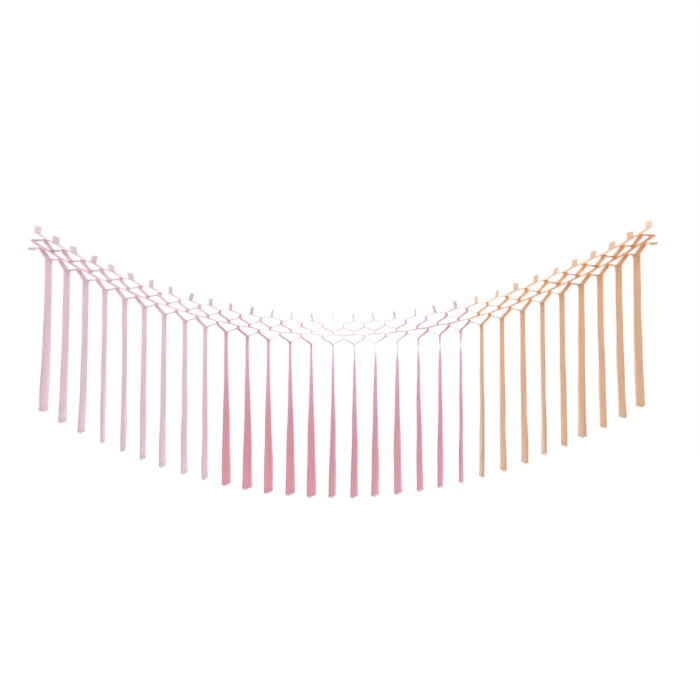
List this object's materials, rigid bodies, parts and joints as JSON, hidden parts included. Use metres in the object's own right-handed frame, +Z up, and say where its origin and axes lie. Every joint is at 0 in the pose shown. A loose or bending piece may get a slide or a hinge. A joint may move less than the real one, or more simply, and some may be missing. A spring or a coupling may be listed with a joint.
{
  "type": "tissue fringe garland",
  "caption": "Hanging tissue paper garland in macrame style: a honeycomb net of glued leaves with a long tassel under every column, in pale pink, rose and peach.",
  "frame": {"origin": "middle of the outer face of the left end leaf's tab, where the garland is held", "axes": "+X along the garland to the right, +Y away from the viewer through the leaves' depth, +Z up; the tassels hang along -Z"},
  "size_m": [0.7805, 0.0252, 0.3451],
  "materials": {
    "pale_pink_tissue": "matte",
    "rose_tissue": "matte",
    "peach_tissue": "matte"
  },
  "bodies": {
    "net_01": {"net_01": "pale_pink_tissue"},
    "tassel_01": {"tassel_01": "pale_pink_tissue"},
    "net_02": {"net_02": "pale_pink_tissue"},
    "tassel_02": {"tassel_02": "pale_pink_tissue"},
    "net_03": {"net_03": "pale_pink_tissue"},
    "tassel_03": {"tassel_03": "pale_pink_tissue"},
    "net_04": {"net_04": "pale_pink_tissue"},
    "tassel_04": {"tassel_04": "pale_pink_tissue"},
    "net_05": {"net_05": "pale_pink_tissue"},
    "tassel_05": {"tassel_05": "pale_pink_tissue"},
    "net_06": {"net_06": "pale_pink_tissue"},
    "tassel_06": {"tassel_06": "pale_pink_tissue"},
    "net_07": {"net_07": "pale_pink_tissue"},
    "tassel_07": {"tassel_07": "pale_pink_tissue"},
    "net_08": {"net_08": "pale_pink_tissue"},
    "tassel_08": {"tassel_08": "pale_pink_tissue"},
    "net_09": {"net_09": "pale_pink_tissue"},
    "tassel_09": {"tassel_09": "pale_pink_tissue"},
    "net_10": {"net_10": "rose_tissue"},
    "tassel_10": {"tassel_10": "rose_tissue"},
    "net_11": {"net_11": "rose_tissue"},
    "tassel_11": {"tassel_11": "rose_tissue"},
    "net_12": {"net_12": "rose_tissue"},
    "tassel_12": {"tassel_12": "rose_tissue"},
    "net_13": {"net_13": "rose_tissue"},
    "tassel_13": {"tassel_13": "rose_tissue"},
    "net_14": {"net_14": "rose_tissue"},
    "tassel_14": {"tassel_14": "rose_tissue"},
    "net_15": {"net_15": "rose_tissue"},
    "tassel_15": {"tassel_15": "rose_tissue"},
    "net_16": {"net_16": "rose_tissue"},
    "tassel_16": {"tassel_16": "rose_tissue"},
    "net_17": {"net_17": "rose_tissue"},
    "tassel_17": {"tassel_17": "rose_tissue"},
    "net_18": {"net_18": "rose_tissue"},
    "tassel_18": {"tassel_18": "rose_tissue"},
    "net_19": {"net_19": "rose_tissue"},
    "tassel_19": {"tassel_19": "rose_tissue"},
    "net_20": {"net_20": "rose_tissue"},
    "tassel_20": {"tassel_20": "rose_tissue"},
    "net_21": {"net_21": "rose_tissue"},
    "tassel_21": {"tassel_21": "rose_tissue"},
    "net_22": {"net_22": "peach_tissue"},
    "tassel_22": {"tassel_22": "peach_tissue"},
    "net_23": {"net_23": "peach_tissue"},
    "tassel_23": {"tassel_23": "peach_tissue"},
    "net_24": {"net_24": "peach_tissue"},
    "tassel_24": {"tassel_24": "peach_tissue"},
    "net_25": {"net_25": "peach_tissue"},
    "tassel_25": {"tassel_25": "peach_tissue"},
    "net_26": {"net_26": "peach_tissue"},
    "tassel_26": {"tassel_26": "peach_tissue"},
    "net_27": {"net_27": "peach_tissue"},
    "tassel_27": {"tassel_27": "peach_tissue"},
    "net_28": {"net_28": "peach_tissue"},
    "tassel_28": {"tassel_28": "peach_tissue"},
    "net_29": {"net_29": "peach_tissue"},
    "tassel_29": {"tassel_29": "peach_tissue"},
    "net_30": {"net_30": "peach_tissue"},
    "tassel_30": {"tassel_30": "peach_tissue"}
  },
  "joints": [
    {"name": "net_02_closes", "type": "slide", "parent": "net_01", "child": "net_02", "axis": [1, 0, 0], "range_m": [-0.015, 0], "deforming": ["net_02", "net_01"]},
    {"name": "net_03_closes", "type": "slide", "parent": "net_02", "child": "net_03", "axis": [1, 0, 0], "range_m": [-0.015, 0], "deforming": ["net_03"]},
    {"name": "net_04_closes", "type": "slide", "parent": "net_03", "child": "net_04", "axis": [1, 0, 0], "range_m": [-0.015, 0], "deforming": ["net_04"]},
    {"name": "net_05_closes", "type": "slide", "parent": "net_04", "child": "net_05", "axis": [1, 0, 0], "range_m": [-0.015, 0], "deforming": ["net_05"]},
    {"name": "net_06_closes", "type": "slide", "parent": "net_05", "child": "net_06", "axis": [1, 0, 0], "range_m": [-0.015, 0], "deforming": ["net_06"]},
    {"name": "net_07_closes", "type": "slide", "parent": "net_06", "child": "net_07", "axis": [1, 0, 0], "range_m": [-0.015, 0], "deforming": ["net_07"]},
    {"name": "net_08_closes", "type": "slide", "parent": "net_07", "child": "net_08", "axis": [1, 0, 0], "range_m": [-0.015, 0], "deforming": ["net_08"]},
    {"name": "net_09_closes", "type": "slide", "parent": "net_08", "child": "net_09", "axis": [1, 0, 0], "range_m": [-0.015, 0], "deforming": ["net_09"]},
    {"name": "net_10_closes", "type": "slide", "parent": "net_09", "child": "net_10", "axis": [1, 0, 0], "range_m": [-0.015, 0], "deforming": ["net_10"]},
    {"name": "net_11_closes", "type": "slide", "parent": "net_10", "child": "net_11", "axis": [1, 0, 0], "range_m": [-0.015, 0], "deforming": ["net_11"]},
    {"name": "net_12_closes", "type": "slide", "parent": "net_11", "child": "net_12", "axis": [1, 0, 0], "range_m": [-0.015, 0], "deforming": ["net_12"]},
    {"name": "net_13_closes", "type": "slide", "parent": "net_12", "child": "net_13", "axis": [1, 0, 0], "range_m": [-0.015, 0], "deforming": ["net_13"]},
    {"name": "net_14_closes", "type": "slide", "parent": "net_13", "child": "net_14", "axis": [1, 0, 0], "range_m": [-0.015, 0], "deforming": ["net_14"]},
    {"name": "net_15_closes", "type": "slide", "parent": "net_14", "child": "net_15", "axis": [1, 0, 0], "range_m": [-0.015, 0], "deforming": ["net_15"]},
    {"name": "net_16_closes", "type": "slide", "parent": "net_15", "child": "net_16", "axis": [1, 0, 0], "range_m": [-0.015, 0], "deforming": ["net_16"]},
    {"name": "net_17_closes", "type": "slide", "parent": "net_16", "child": "net_17", "axis": [1, 0, 0], "range_m": [-0.015, 0], "deforming": ["net_17"]},
    {"name": "net_18_closes", "type": "slide", "parent": "net_17", "child": "net_18", "axis": [1, 0, 0], "range_m": [-0.015, 0], "deforming": ["net_18"]},
    {"name": "net_19_closes", "type": "slide", "parent": "net_18", "child": "net_19", "axis": [1, 0, 0], "range_m": [-0.015, 0], "deforming": ["net_19"]},
    {"name": "net_20_closes", "type": "slide", "parent": "net_19", "child": "net_20", "axis": [1, 0, 0], "range_m": [-0.015, 0], "deforming": ["net_20"]},
    {"name": "net_21_closes", "type": "slide", "parent": "net_20", "child": "net_21", "axis": [1, 0, 0], "range_m": [-0.015, 0], "deforming": ["net_21"]},
    {"name": "net_22_closes", "type": "slide", "parent": "net_21", "child": "net_22", "axis": [1, 0, 0], "range_m": [-0.015, 0], "deforming": ["net_22"]},
    {"name": "net_23_closes", "type": "slide", "parent": "net_22", "child": "net_23", "axis": [1, 0, 0], "range_m": [-0.015, 0], "deforming": ["net_23"]},
    {"name": "net_24_closes", "type": "slide", "parent": "net_23", "child": "net_24", "axis": [1, 0, 0], "range_m": [-0.015, 0], "deforming": ["net_24"]},
    {"name": "net_25_closes", "type": "slide", "parent": "net_24", "child": "net_25", "axis": [1, 0, 0], "range_m": [-0.015, 0], "deforming": ["net_25"]},
    {"name": "net_26_closes", "type": "slide", "parent": "net_25", "child": "net_26", "axis": [1, 0, 0], "range_m": [-0.015, 0], "deforming": ["net_26"]},
    {"name": "net_27_closes", "type": "slide", "parent": "net_26", "child": "net_27", "axis": [1, 0, 0], "range_m": [-0.015, 0], "deforming": ["net_27"]},
    {"name": "net_28_closes", "type": "slide", "parent": "net_27", "child": "net_28", "axis": [1, 0, 0], "range_m": [-0.015, 0], "deforming": ["net_28"]},
    {"name": "net_29_closes", "type": "slide", "parent": "net_28", "child": "net_29", "axis": [1, 0, 0], "range_m": [-0.015, 0], "deforming": ["net_29"]},
    {"name": "net_30_closes", "type": "slide", "parent": "net_29", "child": "net_30", "axis": [1, 0, 0], "range_m": [-0.015, 0], "deforming": ["net_30"]},
    {"name": "tassel_01_swings", "type": "hinge", "parent": "net_01", "child": "tassel_01", "pos_m": [0.01175, 0, -0.03999], "axis": [0, 1, 0], "range_deg": [-5, 5]},
    {"name": "tassel_02_swings", "type": "hinge", "parent": "net_02", "child": "tassel_02", "pos_m": [0.03477, 0, -0.05352], "axis": [0, 1, 0], "range_deg": [-5, 5]},
    {"name": "tassel_03_swings", "type": "hinge", "parent": "net_03", "child": "tassel_03", "pos_m": [0.05825, 0, -0.0663], "axis": [0, 1, 0], "range_deg": [-5, 5]},
    {"name": "tassel_04_swings", "type": "hinge", "parent": "net_04", "child": "tassel_04", "pos_m": [0.08217, 0, -0.07829], "axis": [0, 1, 0], "range_deg": [-5, 5]},
    {"name": "tassel_05_swings", "type": "hinge", "parent": "net_05", "child": "tassel_05", "pos_m": [0.10651, 0, -0.08944], "axis": [0, 1, 0], "range_deg": [-5, 5]},
    {"name": "tassel_06_swings", "type": "hinge", "parent": "net_06", "child": "tassel_06", "pos_m": [0.13126, 0, -0.09972], "axis": [0, 1, 0], "range_deg": [-5, 5]},
    {"name": "tassel_07_swings", "type": "hinge", "parent": "net_07", "child": "tassel_07", "pos_m": [0.15638, 0, -0.10907], "axis": [0, 1, 0], "range_deg": [-5, 5]},
    {"name": "tassel_08_swings", "type": "hinge", "parent": "net_08", "child": "tassel_08", "pos_m": [0.18187, 0, -0.11748], "axis": [0, 1, 0], "range_deg": [-5, 5]},
    {"name": "tassel_09_swings", "type": "hinge", "parent": "net_09", "child": "tassel_09", "pos_m": [0.20767, 0, -0.12489], "axis": [0, 1, 0], "range_deg": [-5, 5]},
    {"name": "tassel_10_swings", "type": "hinge", "parent": "net_10", "child": "tassel_10", "pos_m": [0.23376, 0, -0.13127], "axis": [0, 1, 0], "range_deg": [-5, 5]},
    {"name": "tassel_11_swings", "type": "hinge", "parent": "net_11", "child": "tassel_11", "pos_m": [0.26011, 0, -0.13659], "axis": [0, 1, 0], "range_deg": [-5, 5]},
    {"name": "tassel_12_swings", "type": "hinge", "parent": "net_12", "child": "tassel_12", "pos_m": [0.28665, 0, -0.14083], "axis": [0, 1, 0], "range_deg": [-5, 5]},
    {"name": "tassel_13_swings", "type": "hinge", "parent": "net_13", "child": "tassel_13", "pos_m": [0.31337, 0, -0.14397], "axis": [0, 1, 0], "range_deg": [-5, 5]},
    {"name": "tassel_14_swings", "type": "hinge", "parent": "net_14", "child": "tassel_14", "pos_m": [0.34019, 0, -0.14598], "axis": [0, 1, 0], "range_deg": [-5, 5]},
    {"name": "tassel_15_swings", "type": "hinge", "parent": "net_15", "child": "tassel_15", "pos_m": [0.36708, 0, -0.14685], "axis": [0, 1, 0], "range_deg": [-5, 5]},
    {"name": "tassel_16_swings", "type": "hinge", "parent": "net_16", "child": "tassel_16", "pos_m": [0.39398, 0, -0.14659], "axis": [0, 1, 0], "range_deg": [-5, 5]},
    {"name": "tassel_17_swings", "type": "hinge", "parent": "net_17", "child": "tassel_17", "pos_m": [0.42085, 0, -0.14519], "axis": [0, 1, 0], "range_deg": [-5, 5]},
    {"name": "tassel_18_swings", "type": "hinge", "parent": "net_18", "child": "tassel_18", "pos_m": [0.44762, 0, -0.14266], "axis": [0, 1, 0], "range_deg": [-5, 5]},
    {"name": "tassel_19_swings", "type": "hinge", "parent": "net_19", "child": "tassel_19", "pos_m": [0.47427, 0, -0.13902], "axis": [0, 1, 0], "range_deg": [-5, 5]},
    {"name": "tassel_20_swings", "type": "hinge", "parent": "net_20", "child": "tassel_20", "pos_m": [0.50073, 0, -0.13428], "axis": [0, 1, 0], "range_deg": [-5, 5]},
    {"name": "tassel_21_swings", "type": "hinge", "parent": "net_21", "child": "tassel_21", "pos_m": [0.52696, 0, -0.12846], "axis": [0, 1, 0], "range_deg": [-5, 5]},
    {"name": "tassel_22_swings", "type": "hinge", "parent": "net_22", "child": "tassel_22", "pos_m": [0.55292, 0, -0.1216], "axis": [0, 1, 0], "range_deg": [-5, 5]},
    {"name": "tassel_23_swings", "type": "hinge", "parent": "net_23", "child": "tassel_23", "pos_m": [0.57858, 0, -0.11373], "axis": [0, 1, 0], "range_deg": [-5, 5]},
    {"name": "tassel_24_swings", "type": "hinge", "parent": "net_24", "child": "tassel_24", "pos_m": [0.60391, 0, -0.10489], "axis": [0, 1, 0], "range_deg": [-5, 5]},
    {"name": "tassel_25_swings", "type": "hinge", "parent": "net_25", "child": "tassel_25", "pos_m": [0.62886, 0, -0.0951], "axis": [0, 1, 0], "range_deg": [-5, 5]},
    {"name": "tassel_26_swings", "type": "hinge", "parent": "net_26", "child": "tassel_26", "pos_m": [0.65342, 0, -0.08442], "axis": [0, 1, 0], "range_deg": [-5, 5]},
    {"name": "tassel_27_swings", "type": "hinge", "parent": "net_27", "child": "tassel_27", "pos_m": [0.67757, 0, -0.07288], "axis": [0, 1, 0], "range_deg": [-5, 5]},
    {"name": "tassel_28_swings", "type": "hinge", "parent": "net_28", "child": "tassel_28", "pos_m": [0.70129, 0, -0.06052], "axis": [0, 1, 0], "range_deg": [-5, 5]},
    {"name": "tassel_29_swings", "type": "hinge", "parent": "net_29", "child": "tassel_29", "pos_m": [0.72456, 0, -0.04739], "axis": [0, 1, 0], "range_deg": [-5, 5]},
    {"name": "tassel_30_swings", "type": "hinge", "parent": "net_30", "child": "tassel_30", "pos_m": [0.74738, 0, -0.03352], "axis": [0, 1, 0], "range_deg": [-5, 5]}
  ],
  "couplings": [
    {"joint": "net_03_closes", "follows": "net_02_closes", "ratio": 1},
    {"joint": "net_04_closes", "follows": "net_02_closes", "ratio": 1},
    {"joint": "net_05_closes", "follows": "net_02_closes", "ratio": 1},
    {"joint": "net_06_closes", "follows": "net_02_closes", "ratio": 1},
    {"joint": "net_07_closes", "follows": "net_02_closes", "ratio": 1},
    {"joint": "net_08_closes", "follows": "net_02_closes", "ratio": 1},
    {"joint": "net_09_closes", "follows": "net_02_closes", "ratio": 1},
    {"joint": "net_10_closes", "follows": "net_02_closes", "ratio": 1},
    {"joint": "net_11_closes", "follows": "net_02_closes", "ratio": 1},
    {"joint": "net_12_closes", "follows": "net_02_closes", "ratio": 1},
    {"joint": "net_13_closes", "follows": "net_02_closes", "ratio": 1},
    {"joint": "net_14_closes", "follows": "net_02_closes", "ratio": 1},
    {"joint": "net_15_closes", "follows": "net_02_closes", "ratio": 1},
    {"joint": "net_16_closes", "follows": "net_02_closes", "ratio": 1},
    {"joint": "net_17_closes", "follows": "net_02_closes", "ratio": 1},
    {"joint": "net_18_closes", "follows": "net_02_closes", "ratio": 1},
    {"joint": "net_19_closes", "follows": "net_02_closes", "ratio": 1},
    {"joint": "net_20_closes", "follows": "net_02_closes", "ratio": 1},
    {"joint": "net_21_closes", "follows": "net_02_closes", "ratio": 1},
    {"joint": "net_22_closes", "follows": "net_02_closes", "ratio": 1},
    {"joint": "net_23_closes", "follows": "net_02_closes", "ratio": 1},
    {"joint": "net_24_closes", "follows": "net_02_closes", "ratio": 1},
    {"joint": "net_25_closes", "follows": "net_02_closes", "ratio": 1},
    {"joint": "net_26_closes", "follows": "net_02_closes", "ratio": 1},
    {"joint": "net_27_closes", "follows": "net_02_closes", "ratio": 1},
    {"joint": "net_28_closes", "follows": "net_02_closes", "ratio": 1},
    {"joint": "net_29_closes", "follows": "net_02_closes", "ratio": 1},
    {"joint": "net_30_closes", "follows": "net_02_closes", "ratio": 1}
  ]
}
